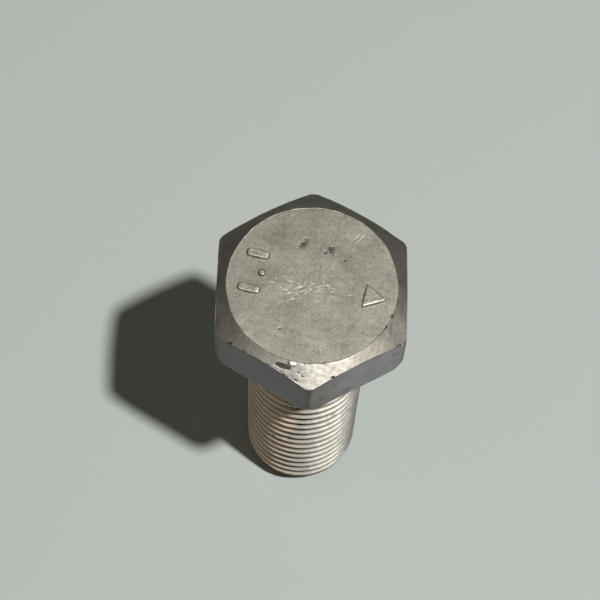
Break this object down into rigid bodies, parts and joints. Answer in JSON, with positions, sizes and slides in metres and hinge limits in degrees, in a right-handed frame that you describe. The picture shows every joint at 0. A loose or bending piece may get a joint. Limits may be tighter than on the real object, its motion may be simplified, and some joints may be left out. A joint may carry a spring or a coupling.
{
  "type": "hex bolt",
  "caption": "Fully threaded hexagon head bolt with a chamfered head, washer face, right-hand coarse thread and tapered point.",
  "frame": {"origin": "centre of the bearing face under the head, on the axis of the bolt", "axes": "+Z along the axis from the bearing face towards the top of the head, so the thread runs down -Z; two flats of the head face +X and -X, and a corner points along -Y"},
  "size_m": [0.024, 0.0276, 0.0553],
  "materials": {
    "head_steel": "dull plated steel, lightly scuffed",
    "thread_steel": "plated rolled thread with bright crests"
  },
  "bodies": {
    "root": {"hex_head": "head_steel", "washer_face": "head_steel", "threaded_shank": "thread_steel", "class_mark": "head_steel", "maker_mark": "head_steel"}
  },
  "joints": []
}
